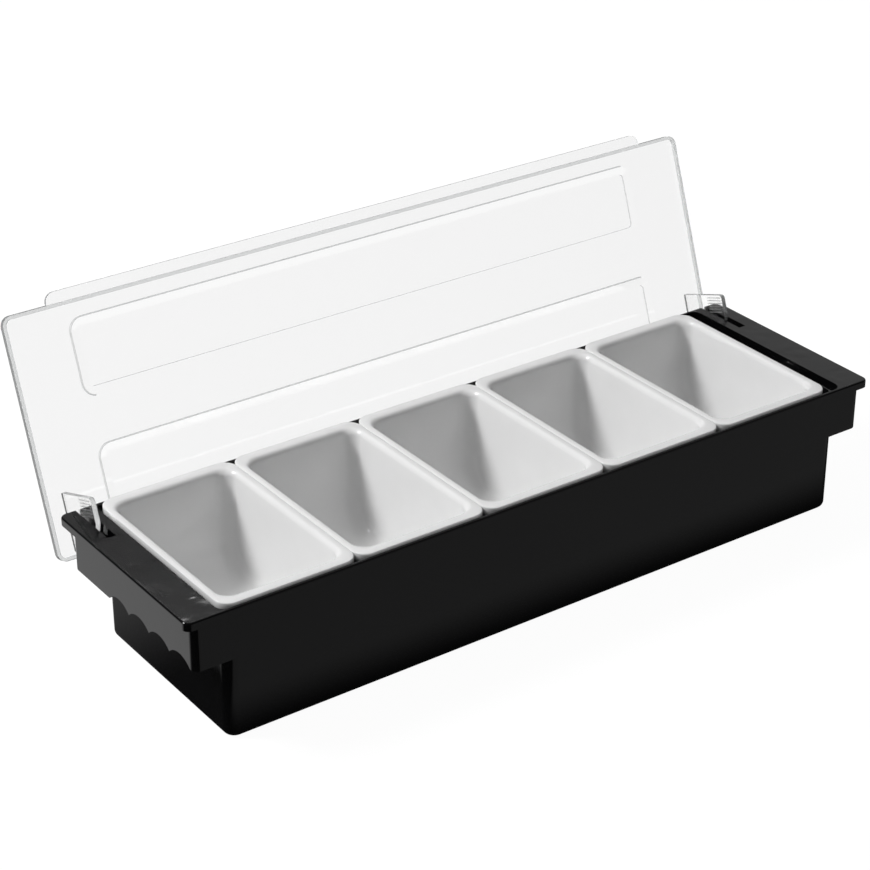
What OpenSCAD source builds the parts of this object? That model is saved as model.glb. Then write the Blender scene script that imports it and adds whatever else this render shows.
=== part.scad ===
// Condiment caddy: a moulded tray with a row of lift-out inserts and one clear hinged lid.
// Millimetres, +Z up. The origin is on the standing surface, under the middle of the brim.
// +X runs along the row of inserts, -Y is the front. The lid stands open in this pose.

/* [Tray] */
// Length of the brim, along X
tray_l = 500; // [440:1:620]
// Depth of the brim, along Y
tray_w = 144; // [126:1:180]
// Height of the brim's top above the standing surface
tray_h = 86; // [70:1:110]
// Wall thickness of the body, the skirts and the floor
wall = 2.5; // [2:0.1:3.2]
// Height of the brim's outer band, and thickness of the end decks
brim_h = 5.2; // [4.4:0.1:6.4]
// Corner radius of the brim, seen from above
brim_r = 4.5; // [3:0.1:7]
// Rounding along the brim's top edge
brim_edge_r = 1.3; // [0.5:0.1:1.5]
// How far the brim stands out over the front wall
front_overhang = 2.2; // [2:0.1:3]
// How far the brim stands out over the back wall
back_overhang = 5.2; // [4:0.1:6.5]
// Corner radius of the body, seen from above
body_r = 7.5; // [6:0.1:9]
// Rounding along the body's bottom edge
base_edge_r = 4.7; // [3:0.1:5.5]

/* [Opening and ledge] */
// Width of the land between the brim's edge and the opening, at front and back
land_w = 1.8; // [1.5:0.1:3]
// Width of the ledge at the opening's ends
ledge_w = 5.2; // [3:0.1:7]
// Depth of the ledge below the brim's top
ledge_depth = 3; // [2:0.1:3.6]
// Corner radius of the opening
opening_r = 6; // [4:0.1:9]

/* [Hand grips] */
// From the brim's end to the body's end wall
grip_w = 24.7; // [22:0.1:32]
// From the brim's end to the skirt's outer face
skirt_inset = 5; // [3:0.1:6]
// Height of the skirt's bottom edge below the brim's top
skirt_drop = 33.6; // [30:0.1:42]
// Corner radius of the skirt, seen from above
skirt_r = 4.8; // [3:0.1:6]
// Number of finger scallops in each skirt
scallops = 4; // [2:1:5]
// Length of one scallop
scallop_pitch = 22.5; // [18:0.1:24]
// Depth of one scallop
scallop_depth = 4.8; // [3:0.1:6]

/* [Hinge] */
// From the brim's end to the middle of the slot
slot_inset = 13.2; // [12.6:0.1:13.6]
// Width of the slot
slot_w = 5.2; // [4.6:0.1:5.6]
// From the brim's back edge to the slot's front end
slot_l = 39.2; // [38:0.1:46]
// From the brim's back edge to the pivot
pivot_inset = 9.15; // [8.4:0.05:10.6]
// Depth of the pivot below the brim's top
pivot_depth = 15.86; // [15:0.1:19]
// Thickness of the cheeks on both sides of the slot
cheek_t = 3.1; // [2.6:0.1:3.6]
// Radius of the lid's round boss
boss_r = 2.5; // [2:0.1:3]
// Radial clearance between the boss and its bore
boss_clear = 0.08; // [0.03:0.01:0.1]
// Lean of the open lid, back from the vertical
open_lean = 19.8; // [12:0.1:26]
// Clearance of the open lid's ear above its stop
stop_gap = 0.25; // [0.1:0.05:0.5]
// How far the cheeks reach below the pivot and in front of it
cheek_wrap = 6; // [5:0.1:7]
// Gap between the end of a boss and the skirt
boss_end_gap = 0.5; // [0.3:0.1:1]

/* [Inserts] */
// Free length left over in the opening, beside the row
row_spare = 13; // [2:0.1:20]
// Gap between the left end of the opening and the first insert
row_start = 2; // [0.5:0.1:4]
// Gap between neighbouring inserts
insert_gap = 0.3; // [0.3:0.1:1]
// Gap between the inserts' rims and the opening, at front and back
rim_clear = 0.3; // [0.2:0.1:0.8]
// Height of the inserts' rims above the brim
rim_proud = 1.8; // [1:0.1:2.4]
// Thickness of the rim's top and of the insert's walls
insert_wall = 2; // [1.5:0.1:2.4]
// Thickness of the lip that hangs from the rim's edge
rim_lip_t = 1.5; // [1.2:0.1:2]
// Overhang of the rim over the insert's side walls
rim_side = 3.5; // [3:0.1:4.5]
// Corner radius of the rim
rim_r = 9; // [7:0.1:12]
// Corner radius of the insert's bowl
bowl_r = 8; // [6:0.1:10]
// Radius of the sweep from the front and back walls to the bottom
sweep_r = 37; // [28:0.5:42]
// Depth of the insert, from the rim's top to its underside
insert_depth = 67.8; // [50:0.1:72]
// Lean of the side walls
side_draft = 3; // [1:0.1:4]
// Gap between the inserts' back walls and the tray's back wall
bowl_clear = 1; // [0.5:0.1:2]

/* [Lid] */
// How much shorter than the brim the lid is, at each end
lid_end_gap = 0.1; // [0:0.1:2]
// How far the closed lid stands out behind the brim
lid_back = 4; // [2.5:0.1:5]
// From the closed lid's front edge to the brim's front edge
lid_front_gap = 1.3; // [0.5:0.1:3]
// Height of the closed lid's rim above the brim
lid_lift = 2; // [2:0.1:3.5]
// Height of the lid, from the rim to the outer face
lid_h = 4; // [3.6:0.1:5]
// Thickness of the lid's plate and of its rim
lid_t = 2; // [1.6:0.1:2.4]
// Corner radius of the lid
lid_r = 6; // [4:0.1:8]
// Inset of the raised panels from the lid's ends
panel_end = 41.2; // [34:0.1:60]
// Inset of the back panel from the lid's hinge edge
panel_back = 14; // [10:0.1:18]
// Inset of the front panel from the lid's front edge
panel_front = 10.6; // [9:0.1:14]
// Width of the plain band between the two panels
panel_band = 27.6; // [20:0.1:40]
// From the lid's hinge edge to the middle of that band
band_mid = 74.2; // [66:0.1:80]
// Width of the sloped wall round a panel
panel_slope = 6; // [3:0.1:8]
// Height of the panels above the lid's outer face
panel_rise = 1.7; // [0.8:0.1:1.8]
// Corner radius of a panel
panel_r = 9; // [7:0.1:12]
// Inset of the finger lip from the lid's ends
lip_inset = 29.5; // [15:0.5:60]
// How far the finger lip stands out at the front
lip_w = 6.8; // [5:0.1:12]
// Corner radius of the finger lip
lip_r = 6; // [3:0.1:8]

/* [Ears] */
// Thickness of a hinge ear
ear_t = 3; // [2.6:0.1:3.6]
// Clearance of the ear's far corner as it turns past the slot's front end
ear_clear = 0.4; // [0.2:0.1:1]
// Depth of the ear below the lid's rim
ear_drop = 37; // [34:0.1:38]
// From the lid's hinge edge to the ear's near edge
ear_start = 3.9; // [3.4:0.1:4.4]
// Rounding of the ear's far corner
ear_r = 2.5; // [2:0.1:4]
// Gap between the closed lid's ears and the tray's back wall
ear_wall_gap = 0.8; // [0.5:0.1:2]
// Height below the pivot at which the ear's back edge leaves the wall
ear_knee = 11; // [9:0.1:13]
// Height below the pivot at which the ear's back edge turns upright
ear_heel = 4; // [2:0.1:6]

/* [Hidden] */
$fn = 64;
eps = 0.01;

// Tray: body faces, opening and cavity
half_l = tray_l / 2;
half_w = tray_w / 2;
body_half_l = half_l - grip_w;
body_front = -half_w + front_overhang;
body_back = half_w - back_overhang;
body_mid_y = (body_front + body_back) / 2;
body_w = body_back - body_front;
opening_half_w = half_w - land_w;
ledge_z = tray_h - ledge_depth;
brim_z = tray_h - brim_h;
cavity_w = body_w - 2 * wall;
cavity_half_l = body_half_l - wall;
opening_half_l = cavity_half_l + ledge_w;
cavity_r = body_r - wall;
cavity_edge_r = max(base_edge_r - wall, 1);

// Hand grips
skirt_x = half_l - skirt_inset;
skirt_z = tray_h - skirt_drop;
scallop_r = scallop_pitch * scallop_pitch / (8 * scallop_depth) + scallop_depth / 2;
scallop_start = body_front + skirt_r;

// Hinge
slot_x = half_l - slot_inset;
pivot_y = half_w - pivot_inset;
pivot_z = tray_h - pivot_depth;
bore_r = boss_r + boss_clear;
swing = 90 + open_lean;

// Lid, in its closed place: hinge edge, rim plane and the pivot seen from them
lid_l = tray_l - 2 * lid_end_gap;
lid_w = tray_w + lid_back - lid_front_gap;
lid_y = half_w + lid_back;
lid_z = tray_h + lid_lift;
lid_mid_y = lid_y - lid_w / 2;
plate_z = lid_z + lid_h - lid_t;
lip_l = lid_l - 2 * lip_inset;
panel_l = lid_l - 2 * panel_end;
ear_near_y = lid_y - ear_start;
ear_bottom_z = lid_z - ear_drop;

// The ear's far corner turns about the pivot just inside the slot's front end, at the deck's underside
ear_swing_r = norm([pivot_y - half_w + slot_l, brim_z - pivot_z]) - ear_clear;
ear_round_z = ear_bottom_z + ear_r;
ear_round_y = pivot_y - sqrt(pow(ear_swing_r - ear_r, 2) - pow(pivot_z - ear_round_z, 2));
ear_far_y = ear_round_y - ear_r;
boss_l = (slot_w - ear_t) / 2 + cheek_t - boss_end_gap;

// The open ear's near edge lies on a line that is this far from the pivot. The slit in the back wall
// ends just under that line, at the wall's outer face, so that it is the lid's stop.
ear_arm = ear_near_y - pivot_y;
stop_run = (body_back - pivot_y + ear_arm * sin(open_lean)) / cos(open_lean);
stop_z = pivot_z - ear_arm * cos(open_lean) - stop_run * sin(open_lean) - stop_gap;

// Inserts: one node for each of the row
inserts = 5;
rim_l = (2 * opening_half_l - row_spare - (inserts - 1) * insert_gap) / inserts;
rim_w = 2 * (opening_half_w - rim_clear);
rim_top = tray_h + rim_proud;
row_left = -opening_half_l + row_start;
bowl_half_w = body_back - wall - bowl_clear;
bowl_half_l = rim_l / 2 - rim_side;
bowl_z = rim_top - insert_depth;

// Panels, one on each side of the band
back_panel_ys = [lid_y - band_mid + panel_band / 2, lid_y - panel_back];
front_panel_ys = [lid_y - lid_w + panel_front, lid_y - band_mid - panel_band / 2];

// A flat rounded rectangle
module rounded_rect(l, w, r) {
    square([l - 2 * r, w], center = true);
    square([l, w - 2 * r], center = true);
    for (x = [-1, 1], y = [-1, 1])
        translate([x * (l / 2 - r), y * (w / 2 - r)])
            circle(r);
}

// A block with round upright corners of radius r, standing on z = 0
module rounded_block(l, w, h, r) {
    linear_extrude(h)
        rounded_rect(l, w, r);
}

// The section of a wall-to-floor rounding: a strip of width w and height h with round bottom corners
module round_bottom(w, h, r) {
    translate([-w / 2, r])
        square([w, h - r]);
    translate([-w / 2 + r, 0])
        square([w - 2 * r, h]);
    for (x = [-1, 1])
        translate([x * (w / 2 - r), r])
            circle(r);
}

// A tub-shaped block: upright corners of radius r, and a bottom edge rounded by e
module tub(l, w, h, r, e) {
    for (x = [-1, 1], y = [-1, 1])
        translate([x * (l / 2 - r), y * (w / 2 - r), 0])
            rotate_extrude()
                intersection() {
                    round_bottom(2 * r, h, e);
                    square([r, h]);
                }
    rotate([90, 0, 90])
        linear_extrude(l - 2 * r, center = true)
            round_bottom(w, h, e);
    rotate([90, 0, 0])
        linear_extrude(w - 2 * r, center = true)
            round_bottom(l, h, e);
}

// The outside of the tray: brim, body and the two skirts
module tray_outside() {
    translate([0, 0, tray_h])
        mirror([0, 0, 1])
            tub(tray_l, tray_w, brim_h, brim_r, brim_edge_r);
    translate([0, body_mid_y, 0])
        tub(2 * body_half_l, body_w, brim_z + eps, body_r, base_edge_r);
    translate([0, body_mid_y, skirt_z])
        rounded_block(2 * skirt_x, body_w, brim_z - skirt_z + eps, skirt_r);
}

// The hollow of one hand grip, from the skirt's bottom edge up to the deck
module grip_hollow() {
    hollow_l = skirt_x - wall - body_half_l;
    hollow_mid = body_half_l + hollow_l / 2;
    translate([hollow_mid, body_mid_y, skirt_z - eps])
        rounded_block(hollow_l, cavity_w, brim_z - skirt_z + eps, skirt_r - wall);
}

// The finger scallops, cut up into the skirt's bottom edge from the front corner
module scallop_row() {
    for (i = [0 : scallops - 1])
        translate([skirt_x - wall - 1, scallop_start + (i + 0.5) * scallop_pitch,
                   skirt_z + scallop_depth - scallop_r])
            rotate([0, 90, 0])
                cylinder(r = scallop_r, h = wall + 2);
}

// The slot for one ear: through the deck and its back edge, and down the back wall to the stop
module ear_slot() {
    translate([slot_x - slot_w / 2, half_w - slot_l, brim_z - eps])
        cube([slot_w, slot_l + 1, brim_h + 1]);
    translate([slot_x - slot_w / 2, body_back - wall - eps, stop_z])
        cube([slot_w, back_overhang + wall + 1, brim_z - stop_z + 1]);
}

// The two cheeks that hang beside one slot and carry the lid's bosses
module cheeks() {
    cheek_w = body_back - wall + eps - (pivot_y - cheek_wrap);
    cheek_h = brim_z - pivot_z + cheek_wrap + eps;
    translate([slot_x - slot_w / 2 - cheek_t, pivot_y - cheek_wrap, pivot_z - cheek_wrap])
        cube([cheek_t, cheek_w, cheek_h]);
    translate([slot_x + slot_w / 2, pivot_y - cheek_wrap, pivot_z - cheek_wrap])
        cube([skirt_x - wall + eps - slot_x - slot_w / 2, cheek_w, cheek_h]);
}

module tray() {
    color("#161617")
    difference() {
        union() {
            difference() {
                tray_outside();
                for (s = [0, 1])
                    mirror([s, 0, 0]) {
                        grip_hollow();
                        scallop_row();
                    }
            }
            for (s = [0, 1])
                mirror([s, 0, 0])
                    cheeks();
        }
        translate([0, 0, ledge_z])
            rounded_block(2 * opening_half_l, 2 * opening_half_w, ledge_depth + 1, opening_r);
        translate([0, body_mid_y, wall])
            tub(2 * cavity_half_l, cavity_w, tray_h, cavity_r, cavity_edge_r);
        for (s = [0, 1])
            mirror([s, 0, 0]) {
                ear_slot();
                translate([slot_x - slot_w / 2 - cheek_t - 1, pivot_y, pivot_z])
                    rotate([0, 90, 0])
                        cylinder(r = bore_r, h = slot_w + 2 * cheek_t + 1);
            }
    }
}

// The section of a bowl along the tray: leaning side walls with round bottom corners
module draft_section(half, h, r) {
    side_run = (h - r) * tan(side_draft);
    foot = half - side_run - r * (1 / cos(side_draft) - 1);
    for (s = [-1, 1])
        translate([s * (foot - r), r])
            circle(r);
    polygon([[-(foot - r), 0], [foot - r, 0],
             [foot - r + r * cos(side_draft), r - r * sin(side_draft)], [half, h],
             [-half, h], [-(foot - r + r * cos(side_draft)), r - r * sin(side_draft)]]);
}

// A bowl-shaped block of depth h: round upright corners, leaning sides, swept front and back
module bowl(half_x, half_y, h, r, sweep) {
    intersection() {
        rotate([90, 0, 90])
            linear_extrude(2 * half_x + 2, center = true)
                round_bottom(2 * half_y, h, sweep);
        rotate([90, 0, 0])
            linear_extrude(2 * half_y + 2, center = true)
                draft_section(half_x, h, r);
        rounded_block(2 * half_x, 2 * half_y, h, r);
    }
}

module insert(i) {
    x = row_left + rim_l / 2 + (i - 1) * (rim_l + insert_gap);
    rim_h = rim_top - ledge_z;
    inner_l = bowl_half_l - insert_wall;
    inner_w = bowl_half_w - insert_wall;
    color("#e9e9e7")
    translate([x, 0, 0])
        difference() {
            union() {
                translate([0, 0, bowl_z])
                    bowl(bowl_half_l, bowl_half_w, insert_depth - eps, bowl_r, sweep_r);
                difference() {
                    translate([0, 0, ledge_z])
                        rounded_block(rim_l, rim_w, rim_h, rim_r);
                    translate([0, 0, ledge_z - eps])
                        rounded_block(rim_l - 2 * rim_lip_t, rim_w - 2 * rim_lip_t,
                                      rim_h - insert_wall, rim_r - rim_lip_t);
                }
            }
            translate([0, 0, bowl_z + insert_wall])
                bowl(inner_l, inner_w, insert_depth, bowl_r - insert_wall, sweep_r - insert_wall);
        }
}

// One raised panel between two values of y: a low block with sloped walls, its wide foot at z = 0
module panel_block(ys) {
    panel_w = ys[1] - ys[0];
    translate([0, ys[0] + panel_w / 2, 0])
        hull() {
            translate([0, 0, -eps])
                linear_extrude(2 * eps)
                    rounded_rect(panel_l, panel_w, panel_r, $fn = 32);
            translate([0, 0, panel_rise - eps])
                linear_extrude(eps)
                    rounded_rect(panel_l - 2 * panel_slope, panel_w - 2 * panel_slope,
                                 panel_r - panel_slope, $fn = 32);
        }
}

// The outline of one ear, seen along X, in the closed lid's place
module ear_outline() {
    knee_y = body_back - wall - ear_wall_gap;
    difference() {
        polygon([[ear_near_y, plate_z + eps], [ear_far_y, plate_z + eps], [ear_far_y, ear_bottom_z],
                 [knee_y, ear_bottom_z], [knee_y, pivot_z - ear_knee], [ear_near_y, pivot_z - ear_heel]]);
        translate([ear_far_y, ear_bottom_z])
            difference() {
                translate([-1, -1])
                    square(ear_r + 1);
                translate([ear_r, ear_r])
                    circle(ear_r);
            }
    }
}

// One ear with a boss on each side
module ear() {
    translate([slot_x, 0, 0]) {
        rotate([90, 0, 90])
            linear_extrude(ear_t, center = true)
                ear_outline();
        translate([0, pivot_y, pivot_z])
            rotate([0, 90, 0])
                cylinder(r = boss_r, h = ear_t + 2 * boss_l, center = true);
    }
}

// The lid's plate with its ears, in the closed lid's place
module closed_lid() {
    difference() {
        union() {
            translate([0, lid_mid_y, plate_z])
                rounded_block(lid_l, lid_w, lid_t, lid_r);
            translate([0, lid_y - lid_w + lip_r - lip_w / 2, plate_z])
                rounded_block(lip_l, lip_w + 2 * lip_r, lid_t, lip_r);
            for (ys = [front_panel_ys, back_panel_ys])
                translate([0, 0, plate_z + lid_t])
                    panel_block(ys);
        }
        for (ys = [front_panel_ys, back_panel_ys])
            translate([0, 0, plate_z])
                panel_block(ys);
    }
    for (s = [0, 1])
        mirror([s, 0, 0])
            ear();
}

// The lid's rim, in the closed lid's place: all round, under the plate's edge
module closed_rim() {
    difference() {
        translate([0, lid_mid_y, lid_z])
            rounded_block(lid_l, lid_w, lid_h - lid_t, lid_r);
        translate([0, lid_mid_y, lid_z - eps])
            rounded_block(lid_l - 2 * lid_t, lid_w - 2 * lid_t, lid_h, lid_r - lid_t);
    }
}

// Turns what belongs to the closed lid about the pivot, to the open lid's place
module leaned_back() {
    translate([0, pivot_y, pivot_z])
        rotate([-swing, 0, 0])
            translate([0, -pivot_y, -pivot_z])
                children();
}

module lid() {
    color("#e8eef0", 0.35)
    leaned_back()
        closed_lid();
}

// The rim is one moulding with the plate; it is a node of its own so that its hollow stays open
module lid_rim() {
    color("#e8eef0", 0.35)
    leaned_back()
        closed_rim();
}

tray();
insert(1);  // insert_1
insert(2);  // insert_2
insert(3);  // insert_3
insert(4);  // insert_4
insert(5);  // insert_5
lid();
lid_rim();
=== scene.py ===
import math
import bmesh
import bpy
from mathutils import Matrix, Vector


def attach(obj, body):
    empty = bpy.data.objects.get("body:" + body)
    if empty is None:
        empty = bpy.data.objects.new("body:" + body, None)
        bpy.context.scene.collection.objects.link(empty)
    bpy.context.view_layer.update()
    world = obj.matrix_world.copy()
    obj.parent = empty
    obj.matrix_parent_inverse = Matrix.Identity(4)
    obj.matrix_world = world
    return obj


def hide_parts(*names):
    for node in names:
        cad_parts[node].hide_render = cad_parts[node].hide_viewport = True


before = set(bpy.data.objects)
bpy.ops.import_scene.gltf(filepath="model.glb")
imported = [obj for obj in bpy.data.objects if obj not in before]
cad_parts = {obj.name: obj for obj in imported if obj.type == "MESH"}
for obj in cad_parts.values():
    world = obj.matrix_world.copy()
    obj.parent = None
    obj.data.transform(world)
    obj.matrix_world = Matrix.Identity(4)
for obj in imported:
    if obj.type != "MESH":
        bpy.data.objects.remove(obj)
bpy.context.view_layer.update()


# Tray. The real one is a single moulding of glossy black ABS: a trough, a brim, and a skirt at each end
# to carry it by. Its surface is polished but runs in faint waves where the plastic flowed and shrank,
# and every edge has the small round that lets it leave the mould.
mm = 0.001
tray_edge_round = 0.5 * mm


def leave_unselected():
    if bpy.context.object and bpy.context.object.mode != "OBJECT":
        bpy.ops.object.mode_set(mode="OBJECT")
    bpy.ops.object.select_all(action="DESELECT")


def take_up(piece):
    leave_unselected()
    piece.select_set(True)
    bpy.context.view_layer.objects.active = piece


def apply_modifier(piece, name, kind, **settings):
    modifier = piece.modifiers.new(name, kind)
    for setting, value in settings.items():
        setattr(modifier, setting, value)
    bpy.ops.object.modifier_apply(modifier=name)


def hex_to_linear(code):
    parts = [int(code[i:i + 2], 16) / 255 for i in (1, 3, 5)]
    return tuple(p / 12.92 if p <= 0.04045 else ((p + 0.055) / 1.055) ** 2.4 for p in parts) + (1.0,)


def add_node(owner, kind, settings=None, inputs=None, links=None):
    """One node: settings are its properties, inputs its socket values, links (from node, output) pairs."""
    node = owner.node_tree.nodes.new(kind)
    for name, value in (settings or {}).items():
        setattr(node, name, value)
    for name, value in (inputs or {}).items():
        node.inputs[name].default_value = value
    for name, (source, output) in (links or {}).items():
        owner.node_tree.links.new(source.outputs[output], node.inputs[name])
    return node


def new_material(name):
    material = bpy.data.materials.new(name)
    material.use_nodes = True
    material.node_tree.nodes.clear()
    return material


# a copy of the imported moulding, with its loose triangles merged into whole faces
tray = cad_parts["tray"].copy()
tray.data = tray.data.copy()
tray.name = "tray_moulding"
for key in list(tray.keys()):
    del tray[key]
tray.parent = None
bpy.context.scene.collection.objects.link(tray)
take_up(tray)
bpy.ops.object.mode_set(mode="EDIT")
bpy.ops.mesh.select_all(action="SELECT")
bpy.ops.mesh.remove_doubles(threshold=0.004 * mm)
bpy.ops.mesh.dissolve_limited(angle_limit=math.radians(0.3))
bpy.ops.mesh.select_all(action="DESELECT")
bpy.ops.object.mode_set(mode="OBJECT")
apply_modifier(tray, "mould_round", "BEVEL", width=tray_edge_round, segments=2, limit_method="ANGLE",
               angle_limit=math.radians(40), miter_outer="MITER_ARC")
bpy.ops.object.shade_smooth_by_angle(angle=math.radians(35))
apply_modifier(tray, "flat_first", "WEIGHTED_NORMAL", keep_sharp=True)

# glossy black ABS: near black with a sharp gloss; what the eye reads are the pale streaks on the decks,
# where the top sank into shallow waves over the ribs, while the upright faces stay almost true
black_abs = new_material("black_abs_moulded")
place = add_node(black_abs, "ShaderNodeTexCoord")
# sink waves about 20 mm across and a few tenths of a millimetre deep, on what faces up
waves = add_node(black_abs, "ShaderNodeTexNoise", {},
                 {"Scale": 50.0, "Detail": 1.5, "Roughness": 0.4, "Distortion": 0.6},
                 {"Vector": (place, "Object")})
facing = add_node(black_abs, "ShaderNodeNewGeometry")
facing_up = add_node(black_abs, "ShaderNodeSeparateXYZ", {}, {}, {"Vector": (facing, "Normal")})
deck_share = add_node(black_abs, "ShaderNodeMapRange", {},
                      {"From Min": 0.5, "From Max": 0.95, "To Min": 0.06, "To Max": 1.0},
                      {"Value": (facing_up, "Z")})
sinks = add_node(black_abs, "ShaderNodeMath", {"operation": "MULTIPLY"}, {},
                 {0: (waves, "Fac"), 1: (deck_share, "Result")})
wave_bump = add_node(black_abs, "ShaderNodeBump", {}, {"Strength": 1.0, "Distance": 0.6 * mm},
                     {"Height": (sinks, "Value")})
# wear and handling: patches of some 17 mm, a little less polished
handling = add_node(black_abs, "ShaderNodeTexNoise", {}, {"Scale": 60.0, "Detail": 4.0, "Roughness": 0.6},
                    {"Vector": (place, "Object")})
polish = add_node(black_abs, "ShaderNodeMapRange", {},
                  {"From Min": 0.3, "From Max": 0.7, "To Min": 0.04, "To Max": 0.1},
                  {"Value": (handling, "Fac")})
tint = add_node(black_abs, "ShaderNodeValToRGB", {}, {}, {"Fac": (handling, "Fac")})
tint.color_ramp.elements[0].color = hex_to_linear("#050506")
tint.color_ramp.elements[1].color = hex_to_linear("#080809")
shell = add_node(black_abs, "ShaderNodeBsdfPrincipled", {}, {"IOR": 1.5},
                 {"Base Color": (tint, "Color"), "Roughness": (polish, "Result"),
                  "Normal": (wave_bump, "Normal")})
add_node(black_abs, "ShaderNodeOutputMaterial", {}, {}, {"Surface": (shell, "BSDF")})
tray.data.materials.clear()
tray.data.materials.append(black_abs)

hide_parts("tray")
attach(tray, "tray")


# Inserts. Five alike white polypropylene cups that lift out, each a deep bowl with a swept front and
# back and a rim that turns down over the tray's ledge. They are moulded thin, so the pale walls take
# soft shade from one another and the rims are rounded all the way along.
rim_length, rim_depth, rim_radius = 88.54 * mm, 139.8 * mm, 9 * mm
rim_top, rim_foot, collar_foot = 87.8 * mm, 83 * mm, 75.8 * mm
mouth_length, mouth_depth, mouth_radius = 77.2 * mm, 122.6 * mm, 10 * mm
sweep_top, sweep_radius, sweep_steps = 57 * mm, 35 * mm, 12
floor_height, floor_radius, floor_border = 22 * mm, 9 * mm, 6 * mm
wall_lean, cup_wall = math.tan(math.radians(3)), 1.8 * mm
rim_round, mouth_round, foot_round = 0.6 * mm, 3.7 * mm, 0.35 * mm
cup_count, first_cup_x, cup_spacing = 5, -181.82 * mm, 88.66 * mm
slack = 0.02 * mm


def close_to(value, target):
    return abs(value - target) < slack


def pick(piece, part, wanted):
    """Selects those of the open mesh's vertices, edges or faces that the test accepts."""
    mesh = bmesh.from_edit_mesh(piece.data)
    bpy.ops.mesh.select_mode(type=part)
    bpy.ops.mesh.select_all(action="DESELECT")
    for element in {"VERT": mesh.verts, "EDGE": mesh.edges, "FACE": mesh.faces}[part]:
        if wanted(element):
            element.select_set(True)
    mesh.select_flush_mode()
    bmesh.update_edit_mesh(piece.data)


def pick_at(piece, part, wanted):
    """Selects the vertices whose place the test accepts, or the edges with both ends at such places."""
    pick(piece, part, lambda element: all(wanted(end.co) for end in getattr(element, "verts", [element])))


def outline_plate(name, low, high, height, radius, steps):
    """A flat plate with round corners, between two corners in X and Y; it is left in edit mode."""
    leave_unselected()
    bpy.ops.mesh.primitive_plane_add(size=1, location=(0, 0, 0))
    plate = bpy.context.object
    plate.name = name
    bpy.ops.object.mode_set(mode="EDIT")
    bpy.ops.mesh.select_all(action="SELECT")
    bpy.ops.transform.resize(value=(high[0] - low[0], high[1] - low[1], 1), center_override=(0, 0, 0))
    bpy.ops.transform.translate(value=((low[0] + high[0]) / 2, (low[1] + high[1]) / 2, height))
    bpy.ops.mesh.bevel(offset=radius, offset_type="OFFSET", segments=steps, profile=0.5, affect="VERTICES")
    return plate


def face_up(piece):
    """Turns all faces of an open sheet or shell the same way round, with the outer side on top."""
    bpy.ops.mesh.select_all(action="SELECT")
    bpy.ops.mesh.normals_make_consistent(inside=False)
    faces = bmesh.from_edit_mesh(piece.data).faces
    if sum(face.normal.z * face.calc_area() for face in faces) < 0:
        bpy.ops.mesh.flip_normals()


def on_rim_edge(co):
    """On the rim's outer edge, seen from above: on a straight side or in a round corner."""
    from_end, from_side = rim_length / 2 - abs(co.x), rim_depth / 2 - abs(co.y)
    return close_to(from_end, 0) or close_to(from_side, 0) or max(from_end, from_side) < rim_radius


def on_mouth_edge(co):
    return (close_to(co.z, rim_top) and abs(co.x) < mouth_length / 2 + slack
            and abs(co.y) < mouth_depth / 2 + slack)


def drawn_in(radius, depth):
    """How far a quarter round has come inwards at a depth below its start."""
    return radius - math.sqrt(max(0.0, radius ** 2 - max(0.0, depth) ** 2))


# the flat rim, between its outer edge and the mouth
cup = outline_plate("insert_1_cup", (-rim_length / 2, -rim_depth / 2), (rim_length / 2, rim_depth / 2),
                    rim_top, rim_radius, steps=10)
bpy.ops.mesh.delete(type="ONLY_FACE")
mouth = outline_plate("mouth", (-mouth_length / 2, -mouth_depth / 2), (mouth_length / 2, mouth_depth / 2),
                      rim_top, mouth_radius, steps=10)
bpy.ops.mesh.delete(type="ONLY_FACE")
take_up(cup)
mouth.select_set(True)
bpy.ops.object.join()
bpy.ops.object.mode_set(mode="EDIT")
bpy.ops.mesh.select_mode(type="EDGE")
bpy.ops.mesh.select_all(action="SELECT")
bpy.ops.mesh.bridge_edge_loops()

# the turned-down lip, from the rim's edge to the ledge
pick_at(cup, "EDGE", on_rim_edge)
bpy.ops.mesh.extrude_region_move(TRANSFORM_OT_translate={"value": (0, 0, rim_foot - rim_top)})

# the bowl, ring by ring: straight and leaning at first, then drawn in along the sweep and the floor's round
half_x, half_y, height = mouth_length / 2, mouth_depth / 2, rim_top
levels = [collar_foot, sweep_top]
for step in range(1, sweep_steps + 1):
    levels.append(sweep_top - sweep_radius * math.sin(math.radians(90 / sweep_steps * step)))
pick_at(cup, "EDGE", on_mouth_edge)
for level in levels:
    lean_x = mouth_length / 2 - (rim_top - level) * wall_lean
    next_x = lean_x - drawn_in(floor_radius, floor_height + floor_radius - level)
    next_y = mouth_depth / 2 - drawn_in(sweep_radius, sweep_top - level)
    bpy.ops.mesh.extrude_region_move(TRANSFORM_OT_translate={"value": (0, 0, level - height)})
    for side in (-1, 1):
        pick_at(cup, "VERT", lambda co: close_to(co.z, level) and co.x * side > 0)
        bpy.ops.transform.translate(value=(side * (next_x - half_x), 0, 0))
        pick_at(cup, "VERT", lambda co: close_to(co.z, level) and co.y * side > 0)
        bpy.ops.transform.translate(value=(0, side * (next_y - half_y), 0))
    pick_at(cup, "EDGE", lambda co: close_to(co.z, level))
    half_x, half_y, height = next_x, next_y, level
bpy.ops.mesh.edge_face_add()
bpy.ops.mesh.inset(thickness=floor_border)

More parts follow.
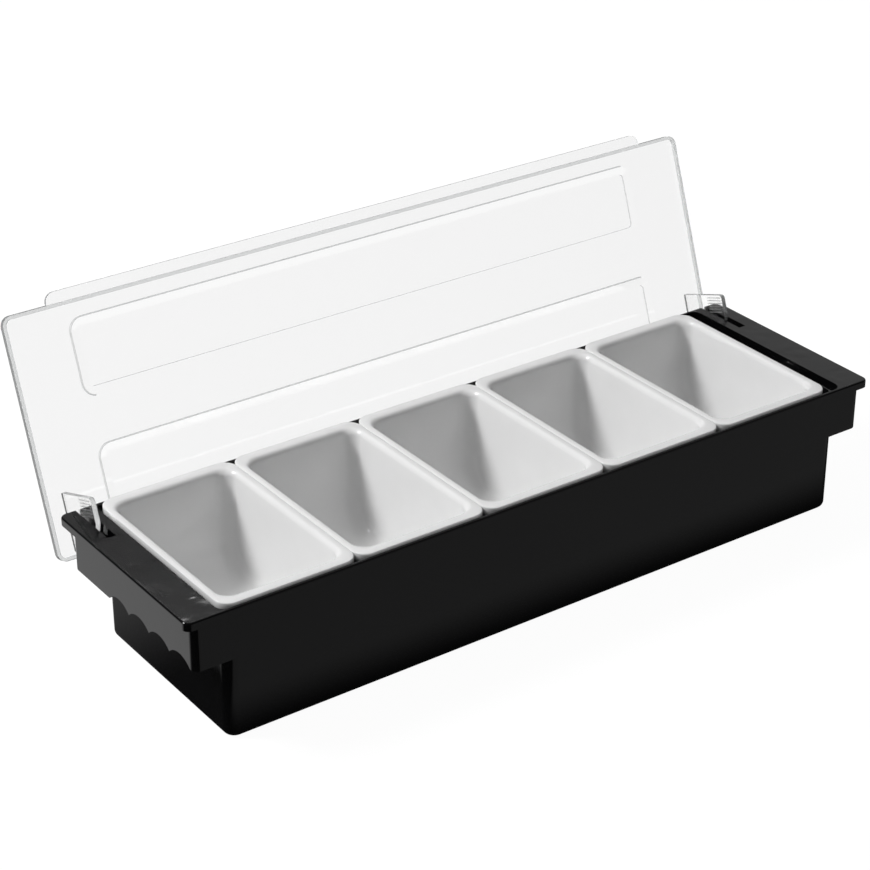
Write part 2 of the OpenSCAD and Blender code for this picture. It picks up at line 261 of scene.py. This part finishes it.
# soft rounds along the rim's outer edge and the mouth, and then the wall's thickness outwards
pick_at(cup, "EDGE", lambda co: close_to(co.z, rim_top) and on_rim_edge(co))
bpy.ops.mesh.bevel(offset=rim_round, segments=3, profile=0.5, affect="EDGES")
pick_at(cup, "EDGE", on_mouth_edge)
bpy.ops.mesh.bevel(offset=mouth_round, segments=8, profile=0.5, affect="EDGES")
bpy.ops.mesh.select_all(action="SELECT")
bpy.ops.mesh.remove_doubles(threshold=0.01 * mm)
face_up(cup)
bpy.ops.object.mode_set(mode="OBJECT")
apply_modifier(cup, "walls", "SOLIDIFY", thickness=cup_wall, offset=-1, use_even_offset=True)
apply_modifier(cup, "lip_round", "BEVEL", width=foot_round, segments=2, limit_method="ANGLE",
               angle_limit=math.radians(60))
bpy.ops.object.shade_smooth_by_angle(angle=math.radians(50))

# moulded polypropylene: milky white with a soft gloss, so that light blurs a little along the walls
white_pp = new_material("white_polypropylene_moulded")
place = add_node(white_pp, "ShaderNodeTexCoord")
# shallow sinks some 22 mm across, and the mould's grain at 0.7 mm, coarser than the real one so that it shows
sink = add_node(white_pp, "ShaderNodeTexNoise", {}, {"Scale": 45.0, "Detail": 1.0, "Roughness": 0.4},
                {"Vector": (place, "Object")})
grain = add_node(white_pp, "ShaderNodeTexNoise", {}, {"Scale": 1500.0, "Detail": 2.0},
                 {"Vector": (place, "Object")})
sink_bump = add_node(white_pp, "ShaderNodeBump", {}, {"Strength": 0.3, "Distance": 0.2 * mm},
                     {"Height": (sink, "Fac")})
grain_bump = add_node(white_pp, "ShaderNodeBump", {}, {"Strength": 0.08, "Distance": 0.05 * mm},
                      {"Height": (grain, "Fac"), "Normal": (sink_bump, "Normal")})
milk = add_node(white_pp, "ShaderNodeValToRGB", {}, {}, {"Fac": (sink, "Fac")})
milk.color_ramp.elements[0].color = hex_to_linear("#e8e8e8")
milk.color_ramp.elements[1].color = hex_to_linear("#eeeeee")
cup_skin = add_node(white_pp, "ShaderNodeBsdfPrincipled", {}, {"IOR": 1.49, "Roughness": 0.16},
                    {"Base Color": (milk, "Color"), "Normal": (grain_bump, "Normal")})
add_node(white_pp, "ShaderNodeOutputMaterial", {}, {}, {"Surface": (cup_skin, "BSDF")})
cup.data.materials.clear()
cup.data.materials.append(white_pp)

cups = [cup]
for number in range(2, cup_count + 1):
    next_cup = cup.copy()
    next_cup.data = cup.data.copy()
    next_cup.name = f"insert_{number}_cup"
    bpy.context.scene.collection.objects.link(next_cup)
    cups.append(next_cup)
for number, each in enumerate(cups, start=1):
    each.location = (first_cup_x + (number - 1) * cup_spacing, 0, 0)
    take_up(each)
    bpy.ops.object.transform_apply(location=True, rotation=True, scale=True)
    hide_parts(f"insert_{number}")
    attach(each, f"insert_{number}")


# Lid. One long moulding of clear polystyrene: a thin plate with two raised panels, a shallow rim, a
# finger lip along the front and two ribbed ears that carry the hinge bosses. It is made closed, as it
# leaves the mould, and then leaned back on its pivots to where it rests.
lid_half, lid_front, lid_back, lid_corner = 249.9 * mm, -70.7 * mm, 76 * mm, 6 * mm
plate_top, rim_plane, lid_sheet, lid_edge_round = 92 * mm, 88 * mm, 2 * mm, 0.015 * mm
panel_half, panel_corner = 209.9 * mm, 9 * mm
panel_spans = ((-60.1 * mm, -12.0 * mm), (15.6 * mm, 62.0 * mm))
pivot, opening = Vector((0, 62.85 * mm, 70.14 * mm)), math.radians(109.8)


def clear_polystyrene(name, tint, roughness, clearness):
    """Clear moulded plastic: the eye reads only its edges, its creases and a slight veil."""
    clear = new_material(name)
    place = add_node(clear, "ShaderNodeTexCoord")
    # flow waves of the clear sheet, about 35 mm long and very shallow
    flow = add_node(clear, "ShaderNodeTexNoise", {}, {"Scale": 28.0, "Detail": 1.0},
                    {"Vector": (place, "Object")})
    flow_bump = add_node(clear, "ShaderNodeBump", {}, {"Strength": 0.1, "Distance": 0.1 * mm},
                         {"Height": (flow, "Fac")})
    pane = add_node(clear, "ShaderNodeBsdfPrincipled", {},
                    {"Base Color": hex_to_linear(tint), "IOR": 1.55, "Roughness": roughness,
                     "Transmission Weight": clearness}, {"Normal": (flow_bump, "Normal")})
    passed = add_node(clear, "ShaderNodeBsdfTransparent", {}, {"Color": (0.93, 0.93, 0.93, 1.0)})
    ray = add_node(clear, "ShaderNodeLightPath")
    # lamps shine through the sheet, so it throws only a faint shade
    lamp_passes = add_node(clear, "ShaderNodeMixShader", {}, {},
                           {"Fac": (ray, "Is Shadow Ray"), 1: (pane, "BSDF"), 2: (passed, "BSDF")})
    add_node(clear, "ShaderNodeOutputMaterial", {}, {}, {"Surface": (lamp_passes, "Shader")})
    return clear


# the outline of the plate, with the two panels set into it
lid = outline_plate("clear_lid", (-lid_half, lid_front), (lid_half, lid_back), plate_top, lid_corner,
                    steps=8)
bpy.ops.mesh.delete(type="ONLY_FACE")
for panel_front, panel_back in panel_spans:
    panel = outline_plate("panel", (-panel_half, panel_front), (panel_half, panel_back), plate_top,
                          panel_corner, steps=8)
    take_up(lid)
    panel.select_set(True)
    bpy.ops.object.join()
# the sheet itself, and a greyer, less clear copy for its creases and narrow sides: painted shade for the grey
# they show because light leaves them sideways
lid.data.materials.append(clear_polystyrene("clear_polystyrene_moulded", "#fbfbfb", 0.02, 1.0))
lid.data.materials.append(clear_polystyrene("clear_polystyrene_painted_edge_shade", "#e8eaea", 0.25, 0.72))
bpy.ops.object.mode_set(mode="EDIT")
bpy.ops.mesh.select_mode(type="EDGE")
bpy.ops.mesh.select_all(action="SELECT")
bpy.ops.mesh.fill(use_beauty=True)
face_up(lid)

# each panel's edge: a crease, a slope up to the panel and a crease at its top, as (inwards, up)
outer_crease, slope, inner_crease = (0.55 * mm, 0.05 * mm), (4.9 * mm, 1.5 * mm), (0.55 * mm, 0.1 * mm)
pick(lid, "FACE", lambda face: len(face.verts) > 4)
for inwards, up in (outer_crease, slope, inner_crease):
    bpy.ops.mesh.inset(thickness=inwards, depth=up)
# painted shade: the outer crease gets the grey copy at the left and the front, and the inner one at the right
# and the back
outer_middle = plate_top + outer_crease[1] / 2
inner_middle = plate_top + outer_crease[1] + slope[1] + inner_crease[1] / 2
panel_end = panel_half - 8 * mm
for face in bmesh.from_edit_mesh(lid.data).faces:
    middle = face.calc_center_median()
    front_half = middle.y < sum(panel_spans[middle.y > 0]) / 2
    left_or_front = middle.x < -panel_end or (front_half and middle.x < panel_end)
    if close_to(middle.z, outer_middle if left_or_front else inner_middle):
        face.material_index = 1

# the rim, down from the plate's border, and the sheet's thickness inwards
pick(lid, "EDGE", lambda edge: edge.is_boundary)
bpy.ops.mesh.extrude_region_move(TRANSFORM_OT_translate={"value": (0, 0, rim_plane - plate_top)})
bpy.ops.mesh.select_all(action="SELECT")
bpy.ops.mesh.remove_doubles(threshold=0.002 * mm)
bpy.ops.object.mode_set(mode="OBJECT")
apply_modifier(lid, "gauge", "SOLIDIFY", thickness=lid_sheet, offset=-1, use_even_offset=True)


def weld(piece, added):
    """Joins a second closed shape to a piece as one moulding."""
    take_up(piece)
    apply_modifier(piece, "weld", "BOOLEAN", operation="UNION", solver="EXACT", object=added)
    bpy.data.objects.remove(added)


# the finger lip, a strip along the front edge between the two ends, cut off straight inside the rim
lip_half, lip_front, lip_cut, lip_back = 220.4 * mm, -77.5 * mm, -69.9 * mm, -62 * mm
lip_corner, lip_bottom, lip_sheet = 6 * mm, 90.03 * mm, 1.94 * mm
lip = outline_plate("lip", (-lip_half, lip_front), (lip_half, lip_back), lip_bottom, lip_corner, steps=6)
bpy.ops.mesh.select_all(action="SELECT")
bpy.ops.mesh.bisect(plane_co=(0, lip_cut, 0), plane_no=(0, 1, 0), clear_outer=True)
bpy.ops.mesh.select_all(action="SELECT")
bpy.ops.mesh.extrude_region_move(TRANSFORM_OT_translate={"value": (0, 0, lip_sheet)})
bpy.ops.mesh.select_all(action="SELECT")
bpy.ops.mesh.normals_make_consistent(inside=False)
weld(lid, lip)

# the ears: upright plates with a row of fine ribs on their lower half, and a round boss through each. Seen
# from the side, an ear is straight in front; behind, it slants out from its foot and widens at a shoulder.
ear_middle, ear_sheet, foot_corner = 236.8 * mm, 3 * mm, 2.5 * mm
ear_front, ear_back, shoulder_back, foot_back = 36.6 * mm, 63.5 * mm, 72.1 * mm, 52 * mm
ear_foot, slant_top, shoulder, ear_root = 51 * mm, 59.14 * mm, 66.14 * mm, 91 * mm
rib_count, first_rib_y, rib_spacing, rib_middle = 6, 38.6 * mm, 1.9 * mm, 59.5 * mm
rib_size, rib_round = (3.6 * mm, 0.7 * mm, 13 * mm), 0.15 * mm
boss_radius, boss_length = 2.5 * mm, 10.4 * mm
for side in (-1, 1):
    leave_unselected()
    bpy.ops.mesh.primitive_plane_add(size=1, location=(0, 0, 0), rotation=(0, math.radians(90), 0))
    ear = bpy.context.object
    bpy.ops.object.transform_apply(location=True, rotation=True, scale=True)
    bpy.ops.object.mode_set(mode="EDIT")
    bpy.ops.mesh.select_all(action="SELECT")
    bpy.ops.transform.resize(value=(1, ear_back - ear_front, slant_top - ear_foot), center_override=(0, 0, 0))
    bpy.ops.transform.translate(value=(side * ear_middle - ear_sheet / 2, (ear_front + ear_back) / 2,
                                       (ear_foot + slant_top) / 2))
    pick_at(ear, "VERT", lambda co: close_to(co.y, ear_back) and close_to(co.z, ear_foot))
    bpy.ops.transform.translate(value=(0, foot_back - ear_back, 0))
    pick_at(ear, "EDGE", lambda co: close_to(co.z, slant_top))
    bpy.ops.mesh.extrude_region_move(TRANSFORM_OT_translate={"value": (0, 0, shoulder - slant_top)})
    bpy.ops.mesh.extrude_region_move(TRANSFORM_OT_translate={"value": (0, 0, ear_root - shoulder)})
    pick_at(ear, "EDGE", lambda co: close_to(co.y, ear_back) and co.z > shoulder - slack)
    bpy.ops.mesh.extrude_region_move(TRANSFORM_OT_translate={"value": (0, shoulder_back - ear_back, 0)})
    pick_at(ear, "VERT", lambda co: co.y > ear_back - slack and co.z < shoulder + slack)
    bpy.ops.mesh.edge_face_add()
    bpy.ops.mesh.select_all(action="SELECT")
    bpy.ops.mesh.dissolve_limited(angle_limit=math.radians(1))
    pick_at(ear, "VERT", lambda co: close_to(co.y, ear_front) and close_to(co.z, ear_foot))
    bpy.ops.mesh.bevel(offset=foot_corner, segments=5, profile=0.5, affect="VERTICES")
    bpy.ops.mesh.select_all(action="SELECT")
    bpy.ops.mesh.extrude_region_move(TRANSFORM_OT_translate={"value": (ear_sheet, 0, 0)})
    bpy.ops.mesh.select_all(action="SELECT")
    bpy.ops.mesh.normals_make_consistent(inside=False)
    weld(lid, ear)
    for rib in range(rib_count):
        leave_unselected()
        bpy.ops.mesh.primitive_cube_add(
            size=1, location=(side * ear_middle, first_rib_y + rib_spacing * rib, rib_middle), scale=rib_size)
        bpy.ops.object.mode_set(mode="EDIT")
        bpy.ops.mesh.select_all(action="SELECT")
        bpy.ops.mesh.bevel(offset=rib_round, segments=1, affect="EDGES")
        weld(lid, bpy.context.object)
    leave_unselected()
    bpy.ops.mesh.primitive_cylinder_add(vertices=32, radius=boss_radius, depth=boss_length,
                                        location=(side * ear_middle, pivot.y, pivot.z),
                                        rotation=(0, math.radians(90), 0))
    boss = bpy.context.object
    bpy.ops.object.transform_apply(location=True, rotation=True, scale=True)
    weld(lid, boss)

# hair-fine rounds in the grey copy, for which the lip's step of 0.03 mm just leaves room, then the painted
# grey shade of every narrow side, and the turn from closed to open
take_up(lid)
apply_modifier(lid, "mould_round", "BEVEL", width=lid_edge_round, segments=2, limit_method="ANGLE",
               angle_limit=math.radians(50), material=1)
bpy.ops.object.mode_set(mode="EDIT")
for face in bmesh.from_edit_mesh(lid.data).faces:
    middle = face.calc_center_median()
    ear_face = abs(face.normal.x) > 0.5 and abs(abs(middle.x) - ear_middle) < 2 * ear_sheet
    below_plate = middle.z < plate_top - lid_sheet - 0.5 * mm
    if (abs(face.normal.z) < 0.5 or below_plate) and not ear_face:
        face.material_index = 1
bpy.ops.mesh.select_all(action="SELECT")
bpy.ops.transform.rotate(value=opening, orient_axis="X", center_override=pivot)
bpy.ops.object.mode_set(mode="OBJECT")
bpy.ops.object.shade_smooth_by_angle(angle=math.radians(14))
apply_modifier(lid, "flat_first", "WEIGHTED_NORMAL", keep_sharp=True)

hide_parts("lid", "lid_rim")
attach(lid, "lid")


# Stage. A pale paper floor and a white surround, which look white to the camera and through the lid. The
# black gloss sees painted reflections instead: glowing patches painted into the floor beyond the left end and
# in front, which only reflections see, with dark between them. One large soft lamp hangs high behind the
# left end, and a narrow one behind the right.
leave_unselected()
bpy.ops.mesh.primitive_plane_add(size=6, location=(0, 0, 0))
floor = bpy.context.object
floor.name = "floor"

paper = new_material("white_paper_floor")
place = add_node(paper, "ShaderNodeTexCoord")
spot = add_node(paper, "ShaderNodeSeparateXYZ", {}, {}, {"Vector": (place, "Object")})
# a painted glow beyond the left end, seen only in reflections, which starts behind the tray's front corner;
# places are in metres
left_painted_glow = add_node(paper, "ShaderNodeMapRange", {"interpolation_type": "SMOOTHSTEP"},
                     {"From Min": -0.252, "From Max": -0.28, "To Min": 0.0, "To Max": 0.72},
                     {"Value": (spot, "X")})
left_painted_glow_end = add_node(paper, "ShaderNodeMapRange", {"interpolation_type": "SMOOTHSTEP"},
                         {"From Min": -0.04, "From Max": 0.02, "To Min": 0.0, "To Max": 1.0},
                         {"Value": (spot, "Y")})
left_glow = add_node(paper, "ShaderNodeMath", {"operation": "MULTIPLY"}, {},
                     {0: (left_painted_glow, "Result"), 1: (left_painted_glow_end, "Result")})
# a dim painted glow in front, which stops short of the left corner and darkens towards the tray as painted
# shade, and a dim painted glow at the back
front_painted_glow = add_node(paper, "ShaderNodeMapRange", {"interpolation_type": "SMOOTHSTEP"},
                      {"From Min": -0.07, "From Max": -0.112, "To Min": 0.02, "To Max": 0.2},
                      {"Value": (spot, "Y")})
front_painted_glow_end = add_node(paper, "ShaderNodeMapRange", {"interpolation_type": "SMOOTHSTEP"},
                          {"From Min": -0.26, "From Max": -0.235, "To Min": 0.0, "To Max": 1.0},
                          {"Value": (spot, "X")})
front_glow = add_node(paper, "ShaderNodeMath", {"operation": "MULTIPLY"}, {},
                      {0: (front_painted_glow, "Result"), 1: (front_painted_glow_end, "Result")})
back_glow = add_node(paper, "ShaderNodeMapRange", {"interpolation_type": "SMOOTHSTEP"},
                     {"From Min": 0.0, "From Max": 0.12, "To Min": 0.02, "To Max": 0.25},
                     {"Value": (spot, "Y")})
low_glow = add_node(paper, "ShaderNodeMath", {"operation": "MAXIMUM"}, {},
                    {0: (front_glow, "Value"), 1: (back_glow, "Result")})
# all the painted glows together: the floor gives off this light to reflections, though it is no lamp
painted_reflection_glow = add_node(paper, "ShaderNodeMath", {"operation": "MAXIMUM"}, {},
                 {0: (left_glow, "Value"), 1: (low_glow, "Value")})
painted_glow_emission = add_node(paper, "ShaderNodeEmission", {}, {"Color": (1, 1, 1, 1)}, {"Strength": (painted_reflection_glow, "Value")})
matt = add_node(paper, "ShaderNodeBsdfDiffuse", {}, {"Color": hex_to_linear("#cfcfcf")})
lit = add_node(paper, "ShaderNodeEmission", {}, {"Color": (1, 1, 1, 1), "Strength": 1.09})
ray = add_node(paper, "ShaderNodeLightPath")
seen = add_node(paper, "ShaderNodeMath", {"operation": "MAXIMUM"}, {},
                {0: (ray, "Is Camera Ray"), 1: (ray, "Is Transmission Ray")})
# an eighth of the floor's own shading is left in what the camera sees, so that a faint shadow stays
share = add_node(paper, "ShaderNodeMath", {"operation": "MULTIPLY"}, {1: 0.88}, {0: (seen, "Value")})
shaded = add_node(paper, "ShaderNodeMixShader", {}, {},
                  {"Fac": (share, "Value"), 1: (matt, "BSDF"), 2: (lit, "Emission")})
# a ray that comes through the lid counts as glossy too, but sees the white floor
gloss_only = add_node(paper, "ShaderNodeMath", {"operation": "SUBTRACT"}, {},
                      {0: (ray, "Is Glossy Ray"), 1: (ray, "Is Transmission Ray")})
mirrored = add_node(paper, "ShaderNodeMixShader", {}, {},
                    {"Fac": (gloss_only, "Value"), 1: (shaded, "Shader"), 2: (painted_glow_emission, "Emission")})
add_node(paper, "ShaderNodeOutputMaterial", {}, {}, {"Surface": (mirrored, "Shader")})
floor.data.materials.append(paper)

world = bpy.data.worlds.new("white_surround")
bpy.context.scene.world = world
world.use_nodes = True
world.node_tree.nodes.clear()
heading = add_node(world, "ShaderNodeTexCoord")
# soft fill from the ceiling and the back; the gloss sees a pale wall only at the back and to the right
to_ceiling = add_node(world, "ShaderNodeVectorMath", {"operation": "DOT_PRODUCT"}, {1: (0.0, 0.45, 0.89)},
                      {0: (heading, "Generated")})
fill = add_node(world, "ShaderNodeMapRange", {"interpolation_type": "SMOOTHSTEP"},
                {"From Min": -0.1, "From Max": 0.9, "To Min": 0.1, "To Max": 0.43},
                {"Value": (to_ceiling, "Value")})
to_back_wall = add_node(world, "ShaderNodeVectorMath", {"operation": "DOT_PRODUCT"}, {1: (0.5, 0.55, 0.67)},
                        {0: (heading, "Generated")})
back_wall = add_node(world, "ShaderNodeMapRange", {"interpolation_type": "SMOOTHSTEP"},
                     {"From Min": 0.5, "From Max": 0.95, "To Min": 0.04, "To Max": 0.42},
                     {"Value": (to_back_wall, "Value")})
soft_fill = add_node(world, "ShaderNodeBackground", {}, {"Color": (1, 1, 1, 1)},
                     {"Strength": (fill, "Result")})
wall_glow = add_node(world, "ShaderNodeBackground", {}, {"Color": (1, 1, 1, 1)},
                     {"Strength": (back_wall, "Result")})
backdrop = add_node(world, "ShaderNodeBackground", {}, {"Color": (1, 1, 1, 1), "Strength": 1.0})
ray = add_node(world, "ShaderNodeLightPath")
gloss = add_node(world, "ShaderNodeMath", {"operation": "MAXIMUM"}, {},
                 {0: (ray, "Is Glossy Ray"), 1: (ray, "Is Transmission Ray")})
room = add_node(world, "ShaderNodeMixShader", {}, {},
                {"Fac": (gloss, "Value"), 1: (soft_fill, "Background"), 2: (wall_glow, "Background")})
surround = add_node(world, "ShaderNodeMixShader", {}, {},
                    {"Fac": (ray, "Is Camera Ray"), 1: (room, "Shader"), 2: (backdrop, "Background")})
add_node(world, "ShaderNodeOutputWorld", {}, {}, {"Surface": (surround, "Shader")})


def soft_lamp(name, position, width, height, power):
    """A soft box that faces the middle of the floor."""
    leave_unselected()
    bpy.ops.object.light_add(type="AREA", location=position)
    lamp = bpy.context.object
    lamp.name = name
    lamp.data.shape = "RECTANGLE"
    lamp.data.size, lamp.data.size_y = width, height
    lamp.data.energy = power
    lamp.rotation_euler = (-Vector(position)).to_track_quat("-Z", "Y").to_euler()


soft_lamp("key_behind_left", position=(-1.9, 1.25, 2.15), width=0.8, height=0.8, power=74)
# a narrow strip, which the waves of the decks catch as pale curls
soft_lamp("strip_behind_right", position=(1.4, 1.9, 1.86), width=1.8, height=0.05, power=1.3)


# Camera. It was solved from the photograph's straight edges: 1.49 m away, to the left and above, with a
# lens of 99.5 mm on a 36 mm sensor, and moved sideways and up so that the object lies as in the frame.
azimuth, elevation, roll = math.radians(-35.461), math.radians(27.942), math.radians(-0.045)
distance, moved_right, moved_up = 1.49049, -0.03011, 0.08111
picture_width, focal_pixels, sensor_width = 870, 2404.57, 36
back = Vector((math.sin(azimuth) * math.cos(elevation), -math.cos(azimuth) * math.cos(elevation),
               math.sin(elevation)))
level_right = Vector((0, 0, 1)).cross(back).normalized()
level_up = back.cross(level_right)
right = math.cos(roll) * level_right + math.sin(roll) * level_up
up = math.cos(roll) * level_up - math.sin(roll) * level_right
leave_unselected()
bpy.ops.object.camera_add()
camera = bpy.context.object
camera.data.sensor_width = sensor_width
camera.data.lens = focal_pixels * sensor_width / picture_width
camera.data.clip_start, camera.data.clip_end = 0.05, 50
camera.matrix_world = (Matrix.Translation(back * distance + right * moved_right + up * moved_up)
                       @ Matrix((right, up, back)).transposed().to_4x4())
bpy.context.scene.camera = camera
bpy.context.scene.view_settings.view_transform = "Standard"
